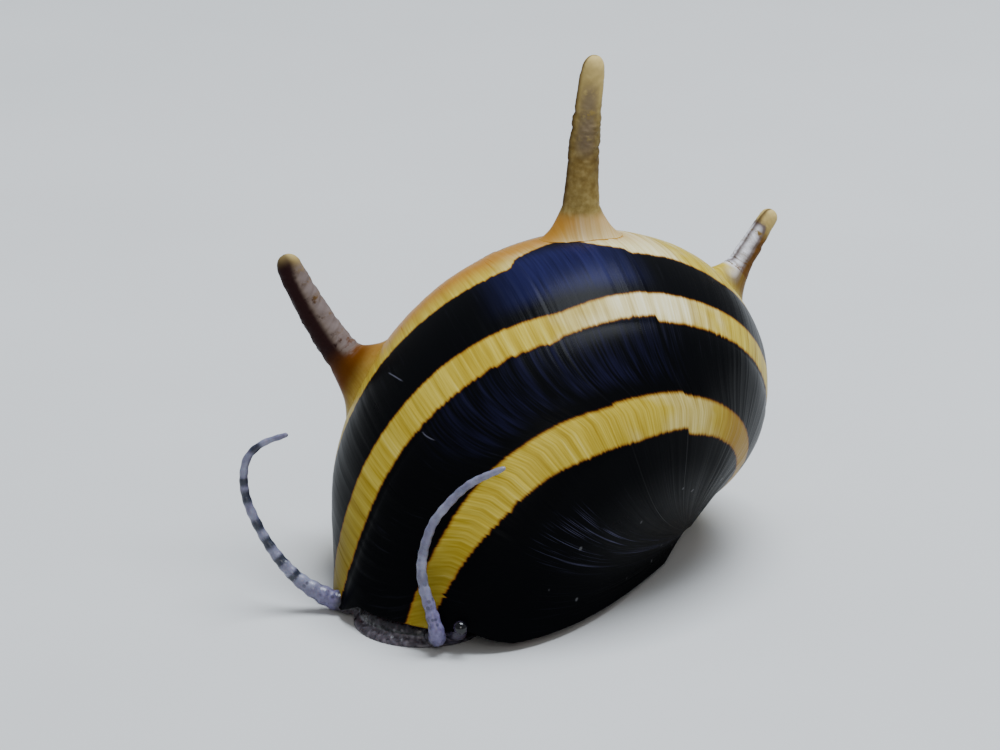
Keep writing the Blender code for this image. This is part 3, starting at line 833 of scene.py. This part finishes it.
def spine(index):
    """A blunt wrinkled spine that grows out of the shoulder on a tent-like skirt."""
    shape = SPINES[index]
    along = unit(np.array(shape["along"]))
    bend = np.array(shape["bend"]) * MM
    whole = shape["length"] * MM + SPINE_ROOT_DEPTH
    start = spiral(shape["turn"], SPINE_LINE) - along * SPINE_ROOT_DEPTH

    def middle(place):
        """Points of the middle line."""
        place = np.asarray(place)[..., None]
        return start + along * whole * place + bend * (place * place - place)

    seat, turn, step = spine_seat(shape, middle)
    by_turn, by_step = shell_slopes(turn, step)
    axis = along * whole + bend * (2 * seat - 1)
    speed = np.linalg.norm(axis)
    axis = axis / speed
    level = unit(by_turn)
    normal = unit(np.cross(by_turn, by_step))
    over = np.cross(normal, level)

    # Width of each ring, by its height above the seat
    angle = round_angles(SPINE_AROUND)
    cosine = np.cos(angle)[None, :]
    sine = np.sin(angle)[None, :]
    reach = np.hypot(SKIRT_REACH[0] * np.cos(angle), SKIRT_REACH[1] * np.sin(angle)) * shape["thick"]
    top = (1 - seat) * speed
    skirt = np.linspace(0, 1, SKIRT_ROWS, endpoint=False)
    stem = np.linspace(SKIRT_RISE, top, SPINE_ROWS)
    rise = np.concatenate([SKIRT_RISE * skirt ** SKIRT_CURVE, stem])[:, None]
    place = seat + rise / speed
    neck = float(taper(seat + SKIRT_RISE / speed)) * shape["thick"]
    width = np.repeat(taper(place) * shape["thick"], SPINE_AROUND, axis=1)
    width[:SKIRT_ROWS] = reach + (neck - reach) * skirt[:, None]
    flange = np.exp(-(np.angle(np.exp(1j * angle)) / FLANGE_WIDTH) ** 2)[None, :]
    flange = flange * smooth(rise / top / FLANGE_START)
    width = width + flange * FLANGE_SIZE * (1 - smooth((rise / top - FLANGE_END[0]) / FLANGE_END[1]))

    # The skirt follows the shell's own surface, and the stem is round
    offset = width[..., None] * (cosine[..., None] * level + sine[..., None] * over)
    moved = offset @ np.linalg.pinv(np.stack([by_turn, by_step], axis=1)).T
    turns = turn + moved[..., 0]
    steps = step + moved[..., 1]
    sunk = np.concatenate([SKIRT_SUNK * (1 - skirt) ** 2, np.zeros(SPINE_ROWS)])[:, None, None]
    on_shell = spiral(turns, steps) + axis * rise[..., None] - normal * sunk
    forward = unit(along * whole + bend * (2 * place[..., None] - 1))
    first = unit(level - forward * (forward @ level)[..., None])
    second = np.cross(forward, first)
    out = cosine[..., None] * first + sine[..., None] * second * np.sign(second[0, 0] @ over)
    tube = middle(place[:, 0])[:, None, :] + width[..., None] * out
    part = skirt_part(rise)
    points = on_shell * (1 - part[..., None]) + tube * part[..., None]
    fade = part * np.clip(width / WRINKLE_WIDTH, 0, 1)
    points = points + out * (spine_wrinkles(index, rise, top, cosine, sine) * fade)[..., None]

    age = -turns - lag(steps)
    pale = np.maximum(band_distance(age, steps, turns), SKIRT_PALE) * (1 - part) + part
    height = part * rise / top + cosine * 0
    values = {"age": age, "step": steps, "pale": pale, "spine": height, "seam": flange}
    values.update(spine_patches(index, rise / top, out))
    return tube_mesh(f"spine_{index}", points, values)


def skirt_part(rise):
    """How far a height on a spine has left the skirt for the round stem, from 0 to 1."""
    return smooth((rise - SKIRT_LEFT * SKIRT_RISE) / SKIRT_RISE)


def taper(place):
    """Radius of a spine at places 0 to 1, with a rounded tip."""
    places, radii = zip(*SPINE_TAPER)
    dome = np.clip((np.asarray(place) - DOME_START) / (1 - DOME_START), 0, 1)
    return np.interp(place, places, radii) * MM * np.sqrt(1 - dome ** DOME_POWER)


def spine_patches(index, place, out):
    """Strength of each colour of a spine, by height and by the side that a point is on."""
    made = {"soot": 0.0, "rust": 0.0, "lit_sheen": 0.0}
    for name, heading, spread, low, high, strength in SPINE_PATCHES[index]:
        side = out @ unit(np.array(heading))
        window = smooth((place - low) / PATCH_START) * smooth((high - place) / PATCH_END)
        made[name] = np.maximum(made[name], strength * smooth(spread + side) * window)
    return made


def build_shell():
    """The whole shell as one closed surface, open below where the body comes out."""
    whorl = body_whorl()
    pieces = spire() + [ellipsoid("fill", FILL_CENTRE, FILL_SIZE)]
    pieces += [spine(index) for index in range(len(SPINES))]
    combine(whorl, pieces, "UNION")
    below = prism("below", ALL_ROUND, -FAR, RIM_LOW, "xyz")
    recess = ellipsoid("recess", RECESS_CENTRE, RECESS_SIZE)
    room = prism("room", foot_outline(ROOM_MARGIN).tolist(), -FAR, RIM_HEIGHT, "xyz")
    front = prism("front", room_outline(FRONT_ROOM), -FAR, FRONT_ROOM_BACK, "xzy")
    rear = prism("rear", room_outline(REAR_ROOM), -FAR, FAR, "yzx")
    cuts = [below, recess, room, front, rear]
    for cut in cuts:
        add_values(cut.data, {"pale": np.full(len(cut.data.vertices), -1.0)})
    combine(whorl, cuts, "DIFFERENCE")
    keep_largest(whorl)
    whorl.data.shade_smooth()
    return whorl


def smooth_path(points, count):
    """Points along a smooth curve through the given ones, equally many between each two."""
    points = np.array(points, float)
    ends = np.concatenate([[points[0] * 2 - points[1]], points, [points[-1] * 2 - points[-2]]])
    place = np.linspace(0, len(points) - 1, count)
    first = np.minimum(place.astype(int), len(points) - 2)
    t = (place - first)[:, None]
    a, b, c, d = (ends[first + offset] for offset in range(4))
    return (b * 2 + (c - a) * t + (a * 2 - b * 5 + c * 4 - d) * t * t
            + (b * 3 - a - c * 3 + d) * t ** 3) / 2


def feeler_tube(name, route, table, knots):
    """A round tapered tube with a domed tip along a smooth route."""
    points = smooth_path(np.array(route) * MM, FEELER_RINGS)
    run = run_along(points)
    place = run / run[-1]
    radius = np.interp(place, *zip(*table)) * MM
    wander = KNOT_WANDER * noise_line(run, KNOT_GAP * KNOT_CELL, KNOT_SEED)
    radius = radius * (1 + knots * np.cos(math.tau * run / KNOT_GAP + wander))
    left = np.clip((run[-1] - run) / radius, 0, 1)
    radius = np.maximum(radius * np.sqrt(1 - (1 - left) ** 2), LEAST_RADIUS)
    ahead = unit(np.gradient(points, axis=0))
    side = unit(np.cross(ahead, UP))
    over = np.cross(side, ahead)
    angle = round_angles(FEELER_AROUND)[None, :, None]
    out = np.cos(angle) * over[:, None] + np.sin(angle) * side[:, None]
    rings = points[:, None] + radius[:, None, None] * out
    return tube_mesh(name, rings[:, ::-1], {})


def foot_mass():
    """The sole with a rounded, slightly frilled margin."""
    angle = round_angles(FOOT_SIDES)
    frill = 1 + FOOT_FRILL * noise_line(angle * FRILL_WAVES, 1.0, FRILL_SEED) * np.sin(angle / 2) ** 2
    rings = []
    for reach, height in FOOT_SECTION:
        flat = foot_outline(0.0, reach, frill)
        rings.append(np.concatenate([flat, np.full((FOOT_SIDES, 1), height * MM)], 1))
    return tube_mesh("foot_mass", np.array(rings), {})


def relax(points, edges, rounds, amount):
    """Even out points by moving each toward the middle of its neighbours."""
    count = np.bincount(edges.ravel(), minlength=len(points))[:, None]
    for _ in range(rounds):
        total = np.zeros_like(points)
        for axis in range(3):
            total[:, axis] += np.bincount(edges[:, 0], points[edges[:, 1], axis], len(points))
            total[:, axis] += np.bincount(edges[:, 1], points[edges[:, 0], axis], len(points))
        points = points + (total / count - points) * amount
    return points


def noise_space(points, cell, seed):
    """Smooth random values from about -1 to 1 at points in space."""
    x, y, z = (points[:, axis] / cell for axis in range(3))
    more, less = SHEET_LEANS
    first = noise_sheet(x + more * z, y - less * z, seed)
    second = noise_sheet(y + less * x + SHEET_SHIFTS[0], z, seed + 1)
    third = noise_sheet(z + SHEET_SHIFTS[1], x - more * y, seed + 2)
    return (first + second + third) / SHEET_SUM


def nearest_run(points, route):
    """Distance from each point to a feeler's middle line, and how far along it that is, both in metres."""
    line = smooth_path(np.array(route) * MM, ROUTE_SAMPLES)
    run = run_along(line)
    gap = np.full(len(points), 1.0)
    where = np.zeros(len(points))
    for point, place in zip(line, run):
        reach = np.linalg.norm(points - point, axis=1)
        closer = reach < gap
        gap[closer] = reach[closer]
        where[closer] = place
    return gap, where


def flesh_solid():
    """Foot, head, eye stalks and feelers as one mesh of even faces."""
    skin = foot_mass()
    skin.name = "skin"
    neck = RECESS_SIZE - ALL_WAYS * NECK_MARGIN
    pieces = [ellipsoid("lower_lip", HEAD_CENTRE, SNOUT_LOWER),
              ellipsoid("upper_lip", HEAD_CENTRE + UPPER_RAISED, SNOUT_UPPER),
              ellipsoid("neck", RECESS_CENTRE, neck)]
    for side, route in FEELERS.items():
        pieces.append(feeler_tube(f"feeler_{side}", route, FEELER_TAPERS[side], KNOT_SIZE))
    pieces += [feeler_tube(f"stalk_{side}", route, STALK_TAPER, 0.0) for side, route in STALKS.items()]
    combine(skin, pieces, "UNION")
    combine(skin, [prism("floor_cut", ALL_ROUND, -FAR, 0.0, "xyz")], "DIFFERENCE")
    skin.data.transform(Matrix.Scale(1 / MM, 4))
    remesh = skin.modifiers.new("remesh", "REMESH")
    remesh.mode = "VOXEL"
    remesh.voxel_size = SKIN_VOXEL
    apply_modifiers(skin)
    skin.data.transform(Matrix.Scale(MM, 4))
    return skin


def flesh_values(points):
    """Where feelers, their spots, eye stalks and the lower lip are, and the distance along each feeler."""
    feeler, spot, run, stalk = np.zeros((4, len(points)))
    reach, fade = FEELER_SKIN
    for side, route in FEELERS.items():
        gap, where = nearest_run(points, route)
        near = smooth((reach - gap) / fade) * smooth((where - FEELER_SHOWS[side]) / FEELER_START)
        feeler = np.maximum(feeler, near)
        run = np.where(near > 0, where, run)
        for place in FEELER_SPOTS[side]:
            away = np.abs(where / MM - place) / (SPOT_HALF + SPOT_CHANGE * math.sin(place * SPOT_WAVE))
            spot = np.maximum(spot, near * FEELER_SPOT_DARK[side] * smooth(SPOT_EDGE - away))
    reach, fade = STALK_SKIN
    for route in STALKS.values():
        stalk = np.maximum(stalk, smooth((reach - nearest_run(points, route)[0]) / fade))
    front = smooth((LIP_FRONT[0] - points[:, 1] / MM) / LIP_FRONT[1]) * (1 - feeler)
    lip = front * smooth((LIP_TOP[0] - points[:, 2] / MM) / LIP_TOP[1]) * (1 - stalk)
    return {"feeler": feeler, "spot": spot, "run": run / MM, "lip": lip, "stalk": stalk}


def build_flesh():
    """The animal under one skin: hard creases relaxed, warts, and ridges on the lower lip."""
    skin = flesh_solid()
    mesh = skin.data
    edges = read_values(mesh.edges, "vertices", 2, int)
    points = relax(read_values(mesh.vertices, "co", 3), edges, SKIN_RELAX, SKIN_SHARE)
    values = flesh_values(points)
    mesh.vertices.foreach_set("co", points.ravel())
    mesh.update()
    normals = read_values(mesh.vertices, "normal", 3)
    x, y, z = points.T / MM
    angle = np.arctan2(x - HEAD_CENTRE.x / MM, HEAD_CENTRE.y / MM - y)
    ridges = LIP_RIDGES * noise_line(angle, LIP_RIDGE_GAP, LIP_SEED) * values["lip"]
    rough = WARTS * sum(noise_space(points, cell, seed) * share for cell, seed, share in WART_WAVES)
    height = (rough * (1 - FEELER_SMOOTH * values["feeler"]) + ridges) * smooth(z / FLOOR_FADE)
    points = points + normals * height[:, None]
    points[:, 2] = np.maximum(points[:, 2], 0.0)
    mesh.vertices.foreach_set("co", points.ravel())
    add_values(mesh, values)
    mesh.shade_smooth()
    mesh.update()
    return skin


def build_eye(side, route):
    """A glossy eye just past the end of its stalk, with a raised clear front over the pupil."""
    end = Vector(route[-1]) * MM
    heading = (end - Vector(route[-2]) * MM).normalized()
    centre = end + heading * (EYE_GAP + EYE_RADIUS)
    eye = ellipsoid(f"eyeball_{side}", centre, ALL_WAYS * EYE_RADIUS, *EYE_FINENESS)
    offset = read_values(eye.data.vertices, "co", 3) - np.array(centre)
    ahead = offset @ np.array(heading) / EYE_RADIUS
    front = smooth((ahead - PUPIL_EDGE) / PUPIL_FADE)
    offset *= (1 - EYE_BULGE / 2 + EYE_BULGE * front)[:, None]
    eye.data.vertices.foreach_set("co", (offset + np.array(centre)).ravel())
    add_values(eye.data, {"pupil": front})
    eye.data.shade_smooth()
    return eye


class Paint:
    """A node material, with short calls for the nodes that it is made of."""

    def __init__(self, name):
        self.made = bpy.data.materials.new(name)
        self.made.use_nodes = True
        self.nodes = self.made.node_tree.nodes
        self.links = self.made.node_tree.links

    def plug(self, socket, value):
        """Link a socket to another one, or set it to a number or colour."""
        if isinstance(value, bpy.types.NodeSocket):
            self.links.new(value, socket)
        elif isinstance(value, tuple):
            socket.default_value = (*value, 1.0)
        else:
            socket.default_value = value

    def node(self, kind, inputs, **settings):
        """A new node with its settings, and with values for its inputs by name or number."""
        node = self.nodes.new("ShaderNode" + kind)
        for name, value in settings.items():
            setattr(node, name, value)
        for name, value in inputs.items():
            self.plug(node.inputs[name], value)
        return node

    def finish(self, **values):
        """Plug the shader's own sockets, named with _ for a space."""
        shader = self.nodes["Principled BSDF"]
        for name, value in values.items():
            self.plug(shader.inputs[name.replace("_", " ")], value)
        return self.made

    def attributes(self, *names):
        """The fields of these names that the mesh carries."""
        return {name: self.node("Attribute", {}, attribute_name=name).outputs["Fac"] for name in names}

    def math(self, kind, first, second):
        return self.node("Math", {0: first, 1: second}, operation=kind).outputs[0]

    def chain(self, kind, values):
        """Values taken together two by two, from left to right."""
        made = values[0]
        for value in values[1:]:
            made = self.math(kind, made, value)
        return made

    def product(self, *values):
        return self.chain("MULTIPLY", values)

    def total(self, *values):
        return self.chain("ADD", values)

    def ease(self, value, low, high, bottom=0.0, top=1.0):
        """A smooth step from one value at low to another at high."""
        inputs = {"Value": value, "From Min": low, "From Max": high, "To Min": bottom, "To Max": top}
        return self.node("MapRange", inputs, interpolation_type="SMOOTHSTEP").outputs["Result"]

    def mix(self, share, first, second):
        """Two colours mixed by a share."""
        return self.node("Mix", {0: share, 6: first, 7: second}, data_type="RGBA").outputs[2]

    def share(self, fields, *parts):
        """The product of parts: the name of a field, a smooth step of a field, or a plain number."""
        made = []
        for part in parts:
            if isinstance(part, tuple):
                part = self.ease(fields[part[0]], *part[1:])
            made.append(fields[part] if isinstance(part, str) else part)
        return self.product(*made)

    def coats(self, base, fields, table):
        """Lay the coats of a table over a base colour, one after the other."""
        for colour, *parts in table.values():
            colour = fields[colour] if isinstance(colour, str) else colour
            base = self.mix(self.share(fields, *parts), base, colour)
        return base

    def ramp(self, value, stops):
        """A colour that runs through stops along a value."""
        node = self.node("ValToRGB", {"Fac": value})
        elements = node.color_ramp.elements
        while len(elements) < len(stops):
            elements.new(0.5)
        for element, (position, colour) in zip(elements, stops):
            element.position = position
            element.color = (*colour, 1.0)
        return node.outputs["Color"]

    def vector(self, x, y, z=0.0):
        return self.node("CombineXYZ", {0: x, 1: y, 2: z}).outputs[0]

    def place(self):
        """The point on the object, in metres."""
        return self.node("TexCoord", {}).outputs["Object"]

    def noise(self, spot, scale, detail):
        return self.node("TexNoise", {"Vector": spot, "Scale": scale, "Detail": detail}).outputs[0]

    def cells(self, spot, scale):
        """Distance from the nearest of many scattered points."""
        return self.node("TexVoronoi", {"Vector": spot, "Scale": scale}).outputs["Distance"]

    def bump(self, height, distance):
        return self.node("Bump", {"Height": height, "Distance": distance}).outputs["Normal"]


def scar(paint, leaning, step, place, first, last):
    """A hair-fine worn line along the growth lines between two steps."""
    beside = paint.math("ABSOLUTE", paint.total(leaning, -place), 0.0)
    return paint.product(paint.ease(beside, *SCAR_WIDTH), paint.ease(step, first, first + SCAR_FADES[0]),
                         paint.ease(step, last, last - SCAR_FADES[1]))


def shell_fields(paint):
    """What the shell's coats keep to: values that the mesh carries, and noise along its growth lines."""
    fields = paint.attributes("age", "step", "pale", "spine", "soot", "rust", "lit_sheen", "seam")
    age = fields["age"]
    step = fields["step"]
    for name, (stretch, shift, scale, detail) in STREAKS.items():
        fields[name] = paint.noise(paint.vector(age, paint.product(step, stretch), shift), scale, detail)
    fine = fields["fine"]
    middle = fields["middle"]
    for name, shares in BLENDS.items():
        fields[name] = paint.total(paint.product(fine, shares[0]), paint.product(middle, shares[1]))
    wander = paint.total(paint.product(fine, EDGE_WANDER), paint.product(middle, EDGE_WANDER), -EDGE_WANDER)
    fields["edge"] = paint.total(fields["pale"], wander)
    fields["drift"] = paint.total(age, paint.product(fields["broad"], DRIFT_SPREAD), -DRIFT_SPREAD / 2)
    leaning = paint.total(age, paint.product(step, -SCAR_LEAN))
    fields["scars"] = paint.total(*(scar(paint, leaning, step, *each) for each in SCARS))
    fields["specks"] = paint.cells(paint.place(), SHELL_SPECKS)
    fields["grain"] = paint.noise(paint.place(), *SHELL_GRAIN)
    rings = [paint.product(fields[name], rate) for name, rate in CREASE_RATES.items()]
    fields["creases"] = paint.noise(paint.vector(*rings, CREASE_SHIFT), *CREASES)
    return fields


def shell_paint():
    """Near-black glaze with streaked pale bands and brown fringes, and horny spines."""
    paint = Paint("shell_glaze")
    fields = shell_fields(paint)
    streak = fields["streak"]
    fields["cream"] = paint.ramp(streak, CREAM)
    # Painted sheen on the side of each spine that faces the light
    fields["sheen_ramp"] = paint.ramp(fields["lit_sheen"], SHEEN_RAMP)
    fields["light"] = paint.coats(paint.ramp(streak, GOLD), fields, LIGHT_COATS)
    light = paint.coats(FRINGE, fields, EDGE_COATS)
    dark = paint.coats(INK, fields, DARK_COATS)
    horn = paint.coats(paint.ramp(fields["grain"], HORN), fields, HORN_COATS)
    colour = paint.mix(paint.share(fields, BAND_START), dark, light)
    on_spine = paint.math("MAXIMUM", paint.share(fields, HORN_START), fields["rust"])
    colour = paint.mix(on_spine, colour, horn)
    gloss = paint.total(paint.product(streak, STREAK_DULLNESS), LEAST_DULLNESS)
    gloss = paint.total(gloss, paint.share(fields, SPINE_DULLNESS))
    height = paint.mix(paint.share(fields, SPINE_RELIEF), fields["relief"], fields["grain"])
    return paint.finish(Base_Color=colour, Roughness=gloss, Normal=paint.bump(height, SHELL_BUMP),
                        IOR=GLAZE_IOR, Specular_IOR_Level=paint.share(fields, *SHINE))


def skin_paint():
    """Dark mauve skin with pale warts and a paler lower lip, and lavender feelers with dark spots."""
    paint = Paint("skin")
    fields = paint.attributes("feeler", "spot", "run", "lip", "stalk")
    place = paint.place()
    grain = paint.noise(place, *SKIN_GRAIN)
    fields["grain"] = grain
    fields["mottle"] = paint.noise(place, *SKIN_MOTTLE)
    fields["warts"] = paint.cells(place, SKIN_WARTS)
    fields["dashes"] = paint.cells(place, SKIN_DASHES)
    fields["mauve"] = paint.ramp(grain, MAUVE)
    fields["clear"] = paint.ramp(fields["mottle"], CLEAR)
    body = paint.coats(paint.ramp(grain, DARK_SKIN), fields, SKIN_COATS)
    tube = paint.coats(paint.ramp(grain, LAVENDER), fields, FEELER_COATS)
    colour = paint.mix(fields["feeler"], body, tube)
    return paint.finish(Base_Color=colour, Roughness=paint.share(fields, SKIN_GLOSS),
                        Normal=paint.bump(grain, SKIN_BUMP), Specular_IOR_Level=SKIN_SHINE,
                        Subsurface_Weight=SKIN_DEPTH[0], Subsurface_Scale=SKIN_DEPTH[1])


def eye_paint():
    """Dark wet eye with a faint violet rim round the pupil."""
    paint = Paint("eye_gloss")
    fields = paint.attributes("pupil")
    rim = paint.ramp(paint.noise(paint.place(), *EYE_GRAIN), EYE_RIM)
    colour = paint.mix(paint.share(fields, PUPIL_START), rim, PUPIL)
    return paint.finish(Base_Color=colour, Roughness=paint.share(fields, EYE_GLOSS))


def floor_paint():
    """Pale matt paint with a barely visible mottle."""
    paint = Paint("floor_paint")
    mottle = paint.noise(paint.place(), *FLOOR_MOTTLE)
    return paint.finish(Base_Color=paint.ramp(mottle, FLOOR), Roughness=FLOOR_DULLNESS)


def camera():
    """The photo's view: heading, height, distance and frame."""
    across = Vector((math.cos(VIEW_AZIMUTH), math.sin(VIEW_AZIMUTH), 0))
    back = Vector((math.sin(VIEW_AZIMUTH) * math.cos(VIEW_ELEVATION),
                   -math.cos(VIEW_AZIMUTH) * math.cos(VIEW_ELEVATION), math.sin(VIEW_ELEVATION)))
    over = back.cross(across)
    turned = Matrix((across, over, back)).transposed().to_4x4()
    data = bpy.data.cameras.new("view")
    data.lens = VIEW_LENS
    data.sensor_width = VIEW_SENSOR
    data.shift_x, data.shift_y = VIEW_SHIFT
    data.clip_start, data.clip_end = VIEW_REACH
    item = add_object("view", data)
    item.matrix_world = Matrix.Translation(VIEW_TARGET + back * VIEW_DISTANCE) @ turned
    bpy.context.scene.camera = item


def softbox(name, place, aim, side, power, colour):
    """A soft square area light at a place, facing a point."""
    data = bpy.data.lights.new(name, "AREA")
    data.shape = "SQUARE"
    data.size = side
    data.energy = power
    data.color = colour
    item = add_object(name, data)
    turned = (Vector(place) - Vector(aim)).to_track_quat("Z", "Y").to_matrix().to_4x4()
    item.matrix_world = Matrix.Translation(Vector(place)) @ turned


def studio():
    """A plain pale floor and soft light."""
    shape = bmesh.new()
    bmesh.ops.create_grid(shape, x_segments=1, y_segments=1, size=FLOOR_HALF)
    floor = shape_object("floor", shape)
    floor.data.materials.append(floor_paint())
    world = bpy.data.worlds.new("studio")
    bpy.context.scene.world = world
    world.use_nodes = True
    backdrop = world.node_tree.nodes["Background"]
    backdrop.inputs["Color"].default_value = ROUND_COLOUR
    backdrop.inputs["Strength"].default_value = ROUND_STRENGTH
    for name, values in LAMPS.items():
        softbox(name, *values)


def dress(piece, paint, slot, *nodes):
    """Give a finished piece its paint, hang it on the root, and hide the imported parts that it stands in
    for.
    """
    piece.data.materials.clear()
    piece.data.materials.append(paint)
    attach(piece, "root")
    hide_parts(*nodes)


camera()
studio()
dress(build_shell(), shell_paint(), "shell", "shell")
dress(build_flesh(), skin_paint(), "foot_skin", *FLESH_NODES)
gloss = eye_paint()
for side, route in STALKS.items():
    dress(build_eye(side, route), gloss, "eye", "eye_" + side)
